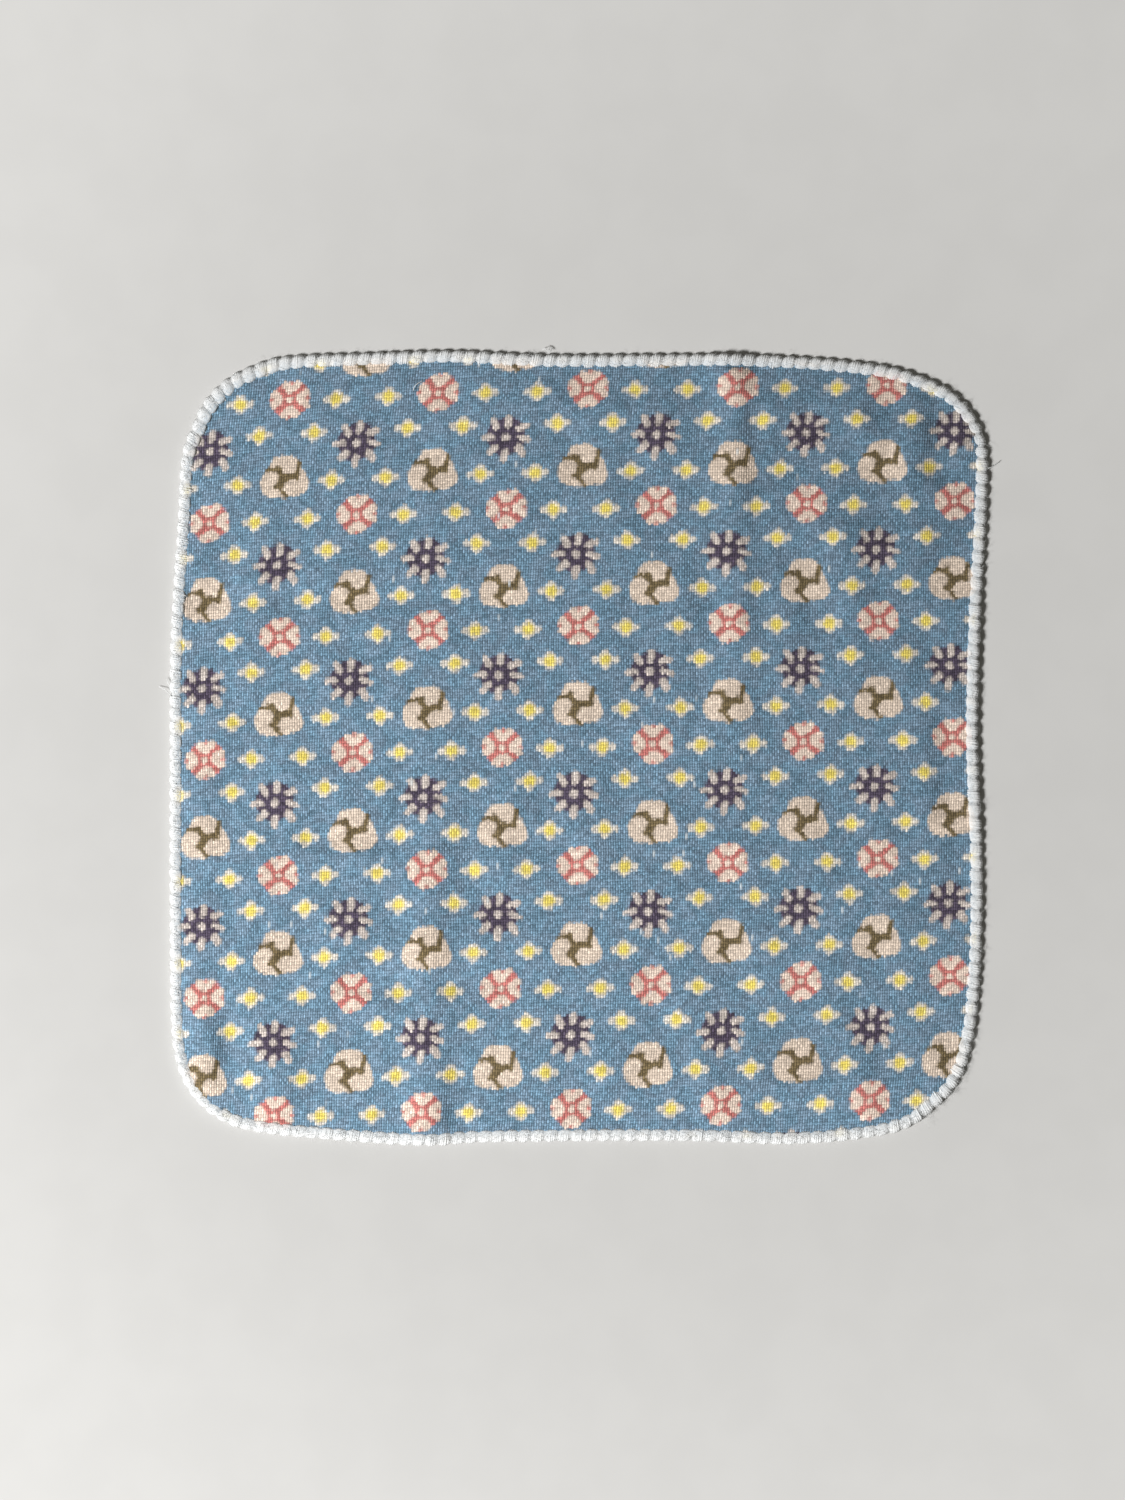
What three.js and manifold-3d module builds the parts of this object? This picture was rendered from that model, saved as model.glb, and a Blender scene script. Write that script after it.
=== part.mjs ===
// A handkerchief: one square of printed open-weave cotton with rounded corners, laid out flat, its cut edge
// wrapped all the way round in a woolly overlock edging that stands up in small bundles of thread.
// Millimetres. +X is to the right, +Y away, +Z up. The surface that it lies on is z = 0.

import * as THREE from "three";
import { mergeVertices } from "three/addons/utils/BufferGeometryUtils.js";
import Module from "manifold-3d";

const wasm = await Module();
wasm.setup();

// Driving dimensions

const CLOTH_THICKNESS = 1.4; // of the soft, loosely laid cotton
const GAP = 0.3; // between the cloth and the thread around it
const SLOT_GAP = 0.4; // above and below the squeezed cut edge, where both rise over the folds

const CLOTH_GRID = { width: 260, depth: 252, columns: 40, rows: 24 }; // closer across the long folds
const TRIM_STATIONS = 150; // corners of the outline that the full thickness is cut to
const CUT_OVERLAP = 1; // how far the squeezed cut edge runs back into the full thickness
const TRIM_DEPTH = 20; // well above and below the sheet

const EDGING = {
  bundles: 224, // bundles of thread around the whole edge, one every 4.2 mm
  reach: 3.4, // from the outer edge to the inner ends of the stitches
  height: 2.2, // of the top of a bundle
  crownFrom: 1.1, // the flat of the crown, from the outer edge
  crownTo: 2.5,
  bellyFrom: 0.84, // the outer side stands upright between these heights
  bellyTo: 1.54,
  bellyLean: 0.1,
  lipDrop: 0.25, // the crown slopes down to the inner ends of the stitches
  scallop: 0.5, // how far the outer edge draws in between two bundles
  dip: 0.2, // how far the top sinks between two bundles
  wall: 0.9, // thread outside the cloth's cut edge
  slotFrom: 0.5, // underside of the slot that holds the cut edge
  slotTo: 1.7,
};

// Where the four corners turn: centre, radius and the stretch of angle that is a true arc
const CORNERS = [
  { side: "right", x: 98.7, y: 87.3, radius: 26, fromDeg: 5, toDeg: 63 },
  { side: "far", x: -92.2, y: 90.3, radius: 26.8, fromDeg: 114, toDeg: 162 },
  { side: "left", x: -96.2, y: -89.2, radius: 27.5, fromDeg: 187, toDeg: 248 },
  { side: "near", x: 93.8, y: -89, radius: 26.1, fromDeg: 312, toDeg: 347 },
];
const CORNER_STEPS = 4;

// The sides between them, hand cut and a little bowed. Each side ends at the corner that names it.
const SIDE_POINTS = [
  { side: "right", x: 121.3, y: -81.8 },
  { side: "right", x: 122.8, y: -59.8 },
  { side: "right", x: 123.1, y: -35.8 },
  { side: "right", x: 121.7, y: 2.2 },
  { side: "right", x: 122.4, y: 36.2 },
  { side: "right", x: 124.4, y: 74.2 },
  { side: "far", x: 98.2, y: 115.2 },
  { side: "far", x: 83.2, y: 117.6 },
  { side: "far", x: 52.2, y: 119.6 },
  { side: "far", x: -9.8, y: 119.6 },
  { side: "far", x: -38.8, y: 120.8 },
  { side: "far", x: -65.8, y: 120 },
  { side: "far", x: -92.8, y: 118.5 },
  { side: "left", x: -120.8, y: 90.2 },
  { side: "left", x: -122.2, y: 69.2 },
  { side: "left", x: -124.4, y: 33.2 },
  { side: "left", x: -124.7, y: -4.8 },
  { side: "left", x: -124.6, y: -59.8 },
  { side: "left", x: -124.4, y: -79.8 },
  { side: "near", x: -97.8, y: -116.8 },
  { side: "near", x: -75.8, y: -119 },
  { side: "near", x: -46.8, y: -120.8 },
  { side: "near", x: -29.8, y: -119.9 },
  { side: "near", x: 36.2, y: -119.5 },
  { side: "near", x: 64.2, y: -120.4 },
  { side: "near", x: 86.2, y: -118.7 },
  { side: "near", x: 101.2, y: -115.4 },
];

// Where the cloth lifts off the surface: soft ridges left by its old folds, and puckers near the edge.
// Each ridge runs from one point to another, its height going evenly from h1 to h2; half is half its width.
const RIDGES = [
  { name: "old fold, right", x1: 46, y1: 126, h1: 1.3, x2: 48, y2: -60, h2: 0, half: 10 },
  { name: "old fold, left", x1: -46.5, y1: -126, h1: 1.1, x2: -41, y2: 70, h2: 0, half: 11 },
  { name: "pucker, far right corner", x1: 116, y1: 93, h1: 1, x2: 90, y2: 96, h2: 0.6, half: 9 },
  { name: "pucker, below that corner", x1: 101, y1: 63, h1: 0.5, x2: 66, y2: 65, h2: 0.5, half: 10 },
  { name: "pucker, right edge", x1: 99, y1: 26, h1: 0.6, x2: 100, y2: -12, h2: 0.5, half: 11 },
  { name: "lifted right edge", x1: 127, y1: 40, h1: 0.6, x2: 127, y2: -20, h2: 0.5, half: 11 },
  { name: "pucker, near left corner", x1: -114, y1: -84, h1: 0.9, x2: -112, y2: -106, h2: 0.8, half: 8 },
  { name: "pucker beside it", x1: -89, y1: -78, h1: 0.5, x2: -88, y2: -104, h2: 0.9, half: 9 },
  { name: "pucker, near edge", x1: 42, y1: -105, h1: 0.6, x2: 98, y2: -104, h2: 0.7, half: 9 },
];

const MERGE_DISTANCE = 1e-4;
const CURVE_DIVISIONS = 4000;

const COTTON_BLUE = 0x7a93a8;
const THREAD_WHITE = 0xeceae4;

// The outline, as evenly spaced stations that know which way is inwards

function cornerPoints({ x, y, radius, fromDeg, toDeg }) {
  const points = [];
  for (let step = 0; step <= CORNER_STEPS; step++) {
    const angle = THREE.MathUtils.degToRad(fromDeg + ((toDeg - fromDeg) * step) / CORNER_STEPS);
    points.push(new THREE.Vector3(x + radius * Math.cos(angle), y + radius * Math.sin(angle), 0));
  }
  return points;
}

function outlineCurve() {
  const points = [];
  for (const corner of CORNERS) {
    for (const point of SIDE_POINTS.filter((row) => row.side === corner.side)) {
      points.push(new THREE.Vector3(point.x, point.y, 0));
    }
    points.push(...cornerPoints(corner));
  }
  const curve = new THREE.CatmullRomCurve3(points, true, "centripetal");
  curve.arcLengthDivisions = CURVE_DIVISIONS;
  return curve;
}

function outlineStations(count) {
  const points = outlineCurve().getSpacedPoints(count).slice(0, count);
  return points.map((point, index) => {
    const before = points[(index + count - 1) % count];
    const after = points[(index + 1) % count];
    const along = after.clone().sub(before).normalize();
    return { point, inward: new THREE.Vector3(-along.y, along.x, 0) };
  });
}

// How far the underside is lifted at a place

function ridgeLift(ridge, x, y) {
  const runX = ridge.x2 - ridge.x1;
  const runY = ridge.y2 - ridge.y1;
  const share = ((x - ridge.x1) * runX + (y - ridge.y1) * runY) / (runX * runX + runY * runY);
  const along = THREE.MathUtils.clamp(share, 0, 1);
  const distance = Math.hypot(x - ridge.x1 - along * runX, y - ridge.y1 - along * runY);
  if (distance >= ridge.half) {
    return 0;
  }
  const height = THREE.MathUtils.lerp(ridge.h1, ridge.h2, along);
  return height * (1 - (distance / ridge.half) ** 2) ** 2;
}

function lift(x, y) {
  return RIDGES.reduce((sum, ridge) => sum + ridgeLift(ridge, x, y), 0);
}

// Solids

// A closed ring swept round the outline. Its section is a loop of { inward, height } points, worked out for
// each station, and the loop turns so that the ring's faces point out.
function sweptRing(count, sectionAt) {
  const positions = [];
  const indices = [];
  const stations = outlineStations(count);
  const size = sectionAt(0).length;
  stations.forEach(({ point, inward }, station) => {
    const base = lift(point.x, point.y);
    for (const corner of sectionAt(station)) {
      const place = point.clone().addScaledVector(inward, corner.inward);
      positions.push(place.x, place.y, base + corner.height);
    }
    for (let side = 0; side < size; side++) {
      const here = station * size + side;
      const onward = station * size + ((side + 1) % size);
      const next = ((station + 1) % count) * size + side;
      const nextOnward = ((station + 1) % count) * size + ((side + 1) % size);
      indices.push(here, next, nextOnward, here, nextOnward, onward);
    }
  });
  const geometry = new THREE.BufferGeometry();
  geometry.setAttribute("position", new THREE.Float32BufferAttribute(positions, 3));
  geometry.setIndex(indices);
  return geometry;
}

function toSolid(source) {
  const geometry = source.clone();
  geometry.deleteAttribute("normal");
  geometry.deleteAttribute("uv");
  const merged = mergeVertices(geometry, MERGE_DISTANCE);
  const mesh = new wasm.Mesh({
    numProp: 3,
    vertProperties: new Float32Array(merged.attributes.position.array),
    triVerts: new Uint32Array(merged.index.array),
  });
  return new wasm.Manifold(mesh);
}

function toGeometry(solid) {
  const mesh = solid.getMesh();
  const geometry = new THREE.BufferGeometry();
  geometry.setAttribute("position", new THREE.BufferAttribute(new Float32Array(mesh.vertProperties), 3));
  geometry.setIndex(new THREE.BufferAttribute(new Uint32Array(mesh.triVerts), 1));
  geometry.computeVertexNormals();
  return geometry;
}

// The cloth's full thickness, on a grid wider than the outline and lifted along the ridges
function liftedSheet() {
  const { width, depth, columns, rows } = CLOTH_GRID;
  const geometry = new THREE.BoxGeometry(width, depth, CLOTH_THICKNESS, columns, rows, 1);
  geometry.translate(0, 0, CLOTH_THICKNESS / 2);
  const position = geometry.attributes.position;
  for (let index = 0; index < position.count; index++) {
    const x = position.getX(index);
    const y = position.getY(index);
    position.setZ(index, position.getZ(index) + lift(x, y));
  }
  return geometry;
}

// What is kept of that sheet: all that lies inside the inner ends of the stitches
function trimBlock() {
  const outline = outlineStations(TRIM_STATIONS).map(({ point, inward }) => {
    const place = point.clone().addScaledVector(inward, EDGING.reach + GAP);
    return new THREE.Vector2(place.x, place.y);
  });
  const shape = new THREE.Shape(outline);
  const block = new THREE.ExtrudeGeometry(shape, { depth: TRIM_DEPTH, bevelEnabled: false });
  block.translate(0, 0, -TRIM_DEPTH / 2);
  return block;
}

// The cut edge, squeezed thin, that runs on into the edging
function squeezedEdge() {
  const outer = EDGING.wall + GAP;
  const inner = EDGING.reach + GAP + CUT_OVERLAP;
  const bottom = EDGING.slotFrom + SLOT_GAP;
  const top = EDGING.slotTo - SLOT_GAP;
  return sweptRing(EDGING.bundles, () => [
    { inward: inner, height: bottom },
    { inward: outer, height: bottom },
    { inward: outer, height: top },
    { inward: inner, height: top },
  ]);
}

function clothGeometry() {
  const body = toSolid(liftedSheet()).intersect(toSolid(trimBlock()));
  return toGeometry(body.add(toSolid(squeezedEdge())));
}

// A C of thread round the cut edge. Even stations are the dips between two bundles, odd ones their crowns.
function edgingSection(station) {
  const isDip = station % 2 === 0;
  const drawnIn = isDip ? EDGING.scallop : 0;
  const top = EDGING.height - (isDip ? EDGING.dip : 0);
  const bottom = isDip ? EDGING.dip / 2 : 0;
  const reach = EDGING.reach - drawnIn / 4;
  return [
    { inward: reach, height: bottom },
    { inward: EDGING.crownFrom, height: bottom },
    { inward: drawnIn, height: EDGING.bellyFrom },
    { inward: drawnIn + EDGING.bellyLean, height: EDGING.bellyTo },
    { inward: EDGING.crownFrom, height: top },
    { inward: EDGING.crownTo, height: top },
    { inward: reach, height: top - EDGING.lipDrop },
    { inward: reach, height: EDGING.slotTo },
    { inward: EDGING.wall, height: EDGING.slotTo },
    { inward: EDGING.wall, height: EDGING.slotFrom },
    { inward: reach, height: EDGING.slotFrom },
  ];
}

function edgingGeometry() {
  const geometry = sweptRing(2 * EDGING.bundles, edgingSection);
  geometry.computeVertexNormals();
  return geometry;
}

// The handkerchief

function namedMesh(name, geometry, color) {
  const material = new THREE.MeshStandardMaterial({ color, roughness: 0.9, metalness: 0 });
  const mesh = new THREE.Mesh(geometry, material);
  mesh.name = name;
  return mesh;
}

const handkerchief = new THREE.Group();
handkerchief.add(namedMesh("cloth", clothGeometry(), COTTON_BLUE));
handkerchief.add(namedMesh("edge_stitching", edgingGeometry(), THREAD_WHITE));

export default handkerchief;
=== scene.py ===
"""A printed cotton handkerchief, laid out flat: open-weave cloth in a small flower print, its cut edge
wrapped in woolly overlock thread. The tables are in millimetres, and Blender's own lengths in metres."""

import math

import bpy
import numpy as np
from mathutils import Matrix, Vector


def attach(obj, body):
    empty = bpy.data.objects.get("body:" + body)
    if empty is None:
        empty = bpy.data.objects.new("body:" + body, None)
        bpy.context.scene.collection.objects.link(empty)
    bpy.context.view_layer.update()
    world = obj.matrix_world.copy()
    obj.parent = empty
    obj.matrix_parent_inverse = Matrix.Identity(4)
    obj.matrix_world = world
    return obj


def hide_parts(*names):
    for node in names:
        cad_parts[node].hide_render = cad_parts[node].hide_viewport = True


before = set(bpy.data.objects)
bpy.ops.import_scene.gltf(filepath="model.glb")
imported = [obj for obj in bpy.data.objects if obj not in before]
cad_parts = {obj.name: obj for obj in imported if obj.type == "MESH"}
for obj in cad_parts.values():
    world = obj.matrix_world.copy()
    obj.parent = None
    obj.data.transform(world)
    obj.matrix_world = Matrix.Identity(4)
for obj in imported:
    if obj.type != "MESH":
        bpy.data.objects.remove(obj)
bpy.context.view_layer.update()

MM = 0.001
SEED = 11
TINY = 1e-6

# The outline, the same as the solids': where the four corners turn, and the sides between them

CORNERS = [
    {"side": "right", "x": 98.7, "y": 87.3, "radius": 26, "from": 5, "to": 63},
    {"side": "far", "x": -92.2, "y": 90.3, "radius": 26.8, "from": 114, "to": 162},
    {"side": "left", "x": -96.2, "y": -89.2, "radius": 27.5, "from": 187, "to": 248},
    {"side": "near", "x": 93.8, "y": -89, "radius": 26.1, "from": 312, "to": 347},
]
CORNER_STEPS = 4
CURVE_STEPS = 80  # between two points of the outline
BEARING_REACH = 1.5  # how far to each side the outline's bearing is taken over
CUT_STEP = 0.5  # between the places that the cloth's cut edge is worked out from
SIDES = {
    "right": [(121.3, -81.8), (122.8, -59.8), (123.1, -35.8), (121.7, 2.2), (122.4, 36.2), (124.4, 74.2)],
    "far": [(98.2, 115.2), (83.2, 117.6), (52.2, 119.6), (-9.8, 119.6), (-38.8, 120.8), (-65.8, 120),
            (-92.8, 118.5)],
    "left": [(-120.8, 90.2), (-122.2, 69.2), (-124.4, 33.2), (-124.7, -4.8), (-124.6, -59.8),
             (-124.4, -79.8)],
    "near": [(-97.8, -116.8), (-75.8, -119), (-46.8, -120.8), (-29.8, -119.9), (36.2, -119.5),
             (64.2, -120.4), (86.2, -118.7), (101.2, -115.4)],
}

# Where the cloth lifts off the surface, the same as the solids': each ridge runs from x1, y1 to x2, y2, its
# height going evenly from h1 to h2, and half is half its width

RIDGES = [
    {"x1": 46, "y1": 126, "h1": 1.3, "x2": 48, "y2": -60, "h2": 0, "half": 10},
    {"x1": -46.5, "y1": -126, "h1": 1.1, "x2": -41, "y2": 70, "h2": 0, "half": 11},
    {"x1": 116, "y1": 93, "h1": 1, "x2": 90, "y2": 96, "h2": 0.6, "half": 9},
    {"x1": 101, "y1": 63, "h1": 0.5, "x2": 66, "y2": 65, "h2": 0.5, "half": 10},
    {"x1": 99, "y1": 26, "h1": 0.6, "x2": 100, "y2": -12, "h2": 0.5, "half": 11},
    {"x1": 127, "y1": 40, "h1": 0.6, "x2": 127, "y2": -20, "h2": 0.5, "half": 11},
    {"x1": -114, "y1": -84, "h1": 0.9, "x2": -112, "y2": -106, "h2": 0.8, "half": 8},
    {"x1": -89, "y1": -78, "h1": 0.5, "x2": -88, "y2": -104, "h2": 0.9, "half": 9},
    {"x1": 42, "y1": -105, "h1": 0.6, "x2": 98, "y2": -104, "h2": 0.7, "half": 9},
]

# Finer creases than the solids have: soft grooves pressed across the cloth, and small waves beside them
CREASES = [
    {"x1": -122, "y1": 53, "h1": 0.35, "x2": -50, "y2": 53.5, "h2": 0.35, "half": 8},
    {"x1": -122, "y1": 45, "h1": -0.7, "x2": -36, "y2": 45.5, "h2": -0.55, "half": 5},
    {"x1": -104, "y1": 10, "h1": -0.5, "x2": -84, "y2": 11, "h2": -0.4, "half": 5},
    {"x1": -82, "y1": -28, "h1": -0.7, "x2": -4, "y2": -29, "h2": -0.6, "half": 4.5},
    {"x1": -68, "y1": -60, "h1": 0.6, "x2": -26, "y2": -60, "h2": 0.6, "half": 12},
    {"x1": -70, "y1": -72, "h1": -0.9, "x2": -24, "y2": -71.5, "h2": -0.8, "half": 6},
    {"x1": -16, "y1": -71, "h1": -0.35, "x2": 6, "y2": -70, "h2": 0, "half": 5},
    {"x1": 47, "y1": 119, "h1": 1.1, "x2": 48, "y2": 82, "h2": 0.6, "half": 6.5},
    {"x1": 48, "y1": 80, "h1": 0.6, "x2": 47, "y2": 34, "h2": 0.25, "half": 7},
    {"x1": 62, "y1": 48, "h1": 0.7, "x2": 64, "y2": 24, "h2": 0.6, "half": 8},
    {"x1": 84, "y1": 52, "h1": 0.75, "x2": 87, "y2": 22, "h2": 0.6, "half": 9},
    {"x1": 106, "y1": 14, "h1": 0.4, "x2": 105, "y2": -18, "h2": 0.4, "half": 8},
    {"x1": 112, "y1": 8, "h1": -0.5, "x2": 111, "y2": -16, "h2": -0.5, "half": 6},
    {"x1": 74, "y1": 64, "h1": 0.8, "x2": 94, "y2": 58, "h2": 0.9, "half": 11},
    {"x1": 102, "y1": 105, "h1": 0.8, "x2": 101, "y2": 84, "h2": 1.2, "half": 8},
    {"x1": 110, "y1": 104, "h1": -0.7, "x2": 111, "y2": 84, "h2": -1, "half": 6.5},
    {"x1": 84, "y1": 99, "h1": 0.8, "x2": 89, "y2": 92, "h2": 0.8, "half": 7},
    {"x1": -28, "y1": 104, "h1": 0.8, "x2": 22, "y2": 105, "h2": 0.8, "half": 11},
    {"x1": 56, "y1": 104, "h1": 0.8, "x2": 84, "y2": 106, "h2": 0.6, "half": 10},
    {"x1": -48, "y1": -34, "h1": 0.3, "x2": -46, "y2": -116, "h2": 0.6, "half": 9},
    {"x1": -37, "y1": -100, "h1": -0.5, "x2": -38, "y2": -118, "h2": -0.6, "half": 6},
    {"x1": -114, "y1": -80, "h1": 0.6, "x2": -114, "y2": -96, "h2": 0.7, "half": 7},
    {"x1": -106, "y1": -88, "h1": -0.6, "x2": -108, "y2": -100, "h2": -0.7, "half": 7},
    {"x1": -95, "y1": -92, "h1": 0.9, "x2": -93, "y2": -106, "h2": 1.1, "half": 9},
    {"x1": -84, "y1": -78, "h1": -0.4, "x2": -82, "y2": -92, "h2": -0.4, "half": 7},
    {"x1": 39, "y1": -96, "h1": 0.9, "x2": 41, "y2": -110, "h2": 0.8, "half": 9},
    {"x1": 85, "y1": -97, "h1": 0.9, "x2": 88, "y2": -110, "h2": 0.9, "half": 8},
    {"x1": -115, "y1": 22, "h1": 0.4, "x2": -115, "y2": -70, "h2": 0.5, "half": 8},
    {"x1": 116, "y1": -30, "h1": -0.4, "x2": 117, "y2": -44, "h2": -0.4, "half": 7},
]

# Small unevenness all over: waves of random direction, with these lengths and this height in all
RIPPLES = {"count": 60, "shortest": 9, "longest": 30, "height": 0.4}

CLOTH = {
    "thickness": 1.4,
    "cells": 200,  # of the mesh, along one side
    "edge": 1.5,  # the cut edge, from the outer edge of the stitches
    "squeezed_to": 3.3,  # where the cloth leaves the stitches
    "full_from": 4.9,  # where it has its full thickness
    "squeezed_bottom": 0.9,
    "squeezed_top": 1.3,
    "deepest": -0.85,  # of a groove
    "off_the_floor": 0.05,
}

# The edging

EDGING = {
    "bundles": 224,
    "strands": 6,  # in a bundle
    "steps": 9,
    "sides": 6,
    "radius": 0.42,
    "scallop": 0.75,  # how far the edge draws in between two bundles
    "dip": 0.6,  # how far the top sinks between two bundles
    "slant": 1.2,  # how far a bundle runs along the edge on its way over
    "rounded_end": 0.35,  # how far the inner end draws back between two bundles
    "eased": 0.25,  # how much lower the stitches lie along the left and near sides
    "eased_dip": 0.5,  # the share of the dip that is lost there
    "eased_reach": 0.15,  # how much further in they reach there
    "wider": 0.4,  # how far it stands out further along the far and near sides
    "core": 0.31,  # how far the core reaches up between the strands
    "core_step": 0.6,
    "lowest": 0.46,  # the middle of a strand, so that none dips into the floor
    "thickness": (0.88, 1.08),  # of the strands, as shares of the radius
    "thinner_end": 0.3,  # how much thinner a strand is at its inner end
    "narrower_end": 0.06,  # how much narrower a bundle is at its inner end, as a share of its width
}

# The middle of one strand, from its inner end under the cloth, round the edge, to its inner end on top:
# distance in from the outer edge, and height
STRAND_COURSE = np.array([(3.2, 0.48), (2.0, 0.46), (0.8, 0.48), (0.2, 0.95), (0.45, 1.45), (1.15, 1.76),
                          (2.05, 1.72), (2.95, 1.54), (3.6, 1.24)])

# A strand's way over the edge is counted from 0, its inner end below, to 1, its inner end on top. It rounds
# the outer side about OUTSIDE, and each of the ZONES comes in between two shares of the way.
OUTSIDE = {"middle": 0.4, "spread": 0.22}
ZONES = {
    "top": (0.35, 0.6),
    "inner_half": (0.6, 1),
    "inner_end": (0.8, 1),
    "looser": (0.5, 1),
    "lower": (0.4, 0.7),
    # where the painted light on top of the stitches comes in
    "painted_light": (0.3, 0.6),
    # where the painted shade in the gap between bundles comes in
    "gap": (0.3, 0.5),
    "see_through": (0.55, 0.95),
}

# How uneven the stitches are: how widely each of their random offsets is spread
UNEVEN = {
    "bundle_along": 0.12,
    "bundle_inwards": 0.2,
    "strand_along": 0.05,
    "strand_outside": 0.05,
    "strand_inwards": 0.12,
    "strand_height": 0.04,
    "step_along": 0.04,
    "step_height": 0.025,
}

# How much brighter or darker the stitches are painted: painted light and shade in places, and a random tone
# from strand to strand
PAINTED_LIGHT_SHADE_AND_TONES = {
    "painted_light": 0.09,  # painted light on top, along the left and near sides, which face the light
    "gap": 0.22,  # painted shade, in the gap between two bundles
    "eased_gap_shade": 0.12,  # how much less of that painted shade there is along the left and near sides
    "pinhole_shade": 0.5,  # painted shade, in the pinhole at the gap's outer end
    "core": 0.03,  # painted shade, in the core under and between the strands
    "strand": 0.06,  # darker at most, from strand to strand
}
PINHOLE_SHADE = {"middle": 0.5, "spread": 0.06}  # where the pinhole's painted shade lies on a strand's way

# How much of the print shows through the stitches, how much more on the left, and how strands differ in it
THROUGH = {"all_round": 0.3, "left": 0.3, "strands": (0.4, 1.5)}

# Where the stitches are looser, at one corner: how much further in they reach, sag outside and are thinner
LOOSE = {"x": -106, "y": 108, "half": 34, "reach": 1.3, "sag": 0.3, "thinner": 0.2}

# Where the stitches are pulled further in than elsewhere, and how far
PULLED = [
    {"x": 113.5, "y": -106, "half": 28, "by": 0.9},
    {"x": -113, "y": -108, "half": 30, "by": 0.35},
]

# Single threads that have worked loose, each through its points
STRAYS = [
    [(124.2, 85.0, 1.2), (125.2, 85.4, 1.5), (126.0, 85.8, 1.3), (126.6, 86.4, 1.0)],
    [(126.4, 86.2, 1.0), (127.2, 86.6, 0.9), (128.3, 87.5, 0.6)],
    [(-50.4, 109.0, 1.9), (-50.1, 110.2, 2.3), (-49.0, 111.1, 2.4), (-47.4, 112.0, 1.9)],
    [(-11.0, 121.6, 0.9), (-10.3, 121.7, 1.6), (-9.6, 121.2, 2.1), (-9.2, 120.2, 2.2)],
    [(-9.2, 121.0, 1.4), (-8.8, 121.9, 1.2), (-9.5, 122.4, 0.8)],
    [(-8.6, 120.9, 1.3), (-8.2, 121.6, 1.0), (-8.5, 122.1, 0.7)],
    [(-123.9, 15.6, 1.8), (-125.2, 17.0, 1.6), (-126.2, 17.9, 1.1), (-128.0, 18.8, 0.5)],
    [(-124.2, 18.6, 1.5), (-125.3, 19.8, 1.0), (-125.6, 21.3, 0.6)],
]
STRAY = {"radius": 0.12, "taper": 0.4, "steps": 12, "sides": 5}

# The fluff of the textured thread: fine fibres that stand off it, most of them short
FIBRES = {
    "count": 5000,
    "steps": 4,
    "sides": 3,
    "radius": 0.035,
    "taper": 0.6,
    "rooted": (0.1, 3.2),  # distance in from the outer edge
    "shortest": 0.5,
    "longer_by": (2.0, 0.35),  # shape and scale of a gamma spread
    "outwards": (-0.4, 1),  # how much they lean outwards
    "curl": 0.5,
    "crown": {"inset": 1.6, "height": 2.15, "fall": 0.5},  # of the stitches that they stand on
    "sunk": 0.25,
    "arch": {"rise": 0.45, "turn": 2.6, "droop": 0.15, "longest": 1.2},
    "lowest": 0.06,
    "tone": (0.9, 1),
}

# The outline, as evenly spaced stations that know which way is inwards

def corner_points(corner):
    angles = np.radians(np.linspace(corner["from"], corner["to"], CORNER_STEPS + 1))
    return [(corner["x"] + corner["radius"] * math.cos(a), corner["y"] + corner["radius"] * math.sin(a))
            for a in angles]


def smooth_loop(points, steps):
    """A closed centripetal Catmull-Rom curve through the points."""
    p0, p1, p2, p3 = (np.roll(points, shift, axis=0) for shift in (1, 0, -1, -2))
    pairs = (p0, p1), (p1, p2), (p2, p3)
    k0, k1, k2 = (np.linalg.norm(b - a, axis=1, keepdims=True) ** 0.5 for a, b in pairs)
    start = ((p1 - p0) / k0 - (p2 - p0) / (k0 + k1) + (p2 - p1) / k1) * k1
    end = ((p2 - p1) / k1 - (p3 - p1) / (k1 + k2) + (p3 - p2) / k2) * k1
    t = (np.arange(steps) / steps)[None, :, None]
    p1, p2, start, end = (a[:, None, :] for a in (p1, p2, start, end))
    cubic = 2 * p1 - 2 * p2 + start + end
    square = -3 * p1 + 3 * p2 - 2 * start - end
    return (p1 + start * t + square * t ** 2 + cubic * t ** 3).reshape(-1, 2)


def outline_curve():
    points = []
    for corner in CORNERS:
        points += SIDES[corner["side"]] + corner_points(corner)
    return smooth_loop(np.array(points, float), CURVE_STEPS)


CURVE = outline_curve()
CURVE_LENGTHS = np.concatenate([[0], np.cumsum(np.linalg.norm(np.roll(CURVE, -1, axis=0) - CURVE, axis=1))])
PERIMETER = CURVE_LENGTHS[-1]


def on_outline(along):
    """Places on the outline at these distances along it, and which ways are inwards and ahead there."""
    closed = np.vstack([CURVE, CURVE[:1]])

    def place(distance):
        distance = np.mod(distance, PERIMETER)
        return np.stack([np.interp(distance, CURVE_LENGTHS, closed[:, axis]) for axis in (0, 1)], axis=-1)

    ahead = place(along + BEARING_REACH) - place(along - BEARING_REACH)
    ahead /= np.linalg.norm(ahead, axis=-1, keepdims=True)
    return place(along), np.stack([-ahead[..., 1], ahead[..., 0]], axis=-1), ahead


# How far the cloth is lifted at a place

def rise(rows, x, y):
    """How high the ridges of these rows are at a place, or how deep their grooves, where that is below 0."""
    total = np.zeros_like(x)
    for row in rows:
        run_x, run_y = row["x2"] - row["x1"], row["y2"] - row["y1"]
        share = ((x - row["x1"]) * run_x + (y - row["y1"]) * run_y) / (run_x ** 2 + run_y ** 2)
        along = np.clip(share, 0, 1)
        distance = np.hypot(x - row["x1"] - along * run_x, y - row["y1"] - along * run_y)
        height = row["h1"] + (row["h2"] - row["h1"]) * along
        total += height * np.clip(1 - (distance / row["half"]) ** 2, 0, None) ** 2
    return total


def lift(x, y):
    return rise(RIDGES, x, y)


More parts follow.
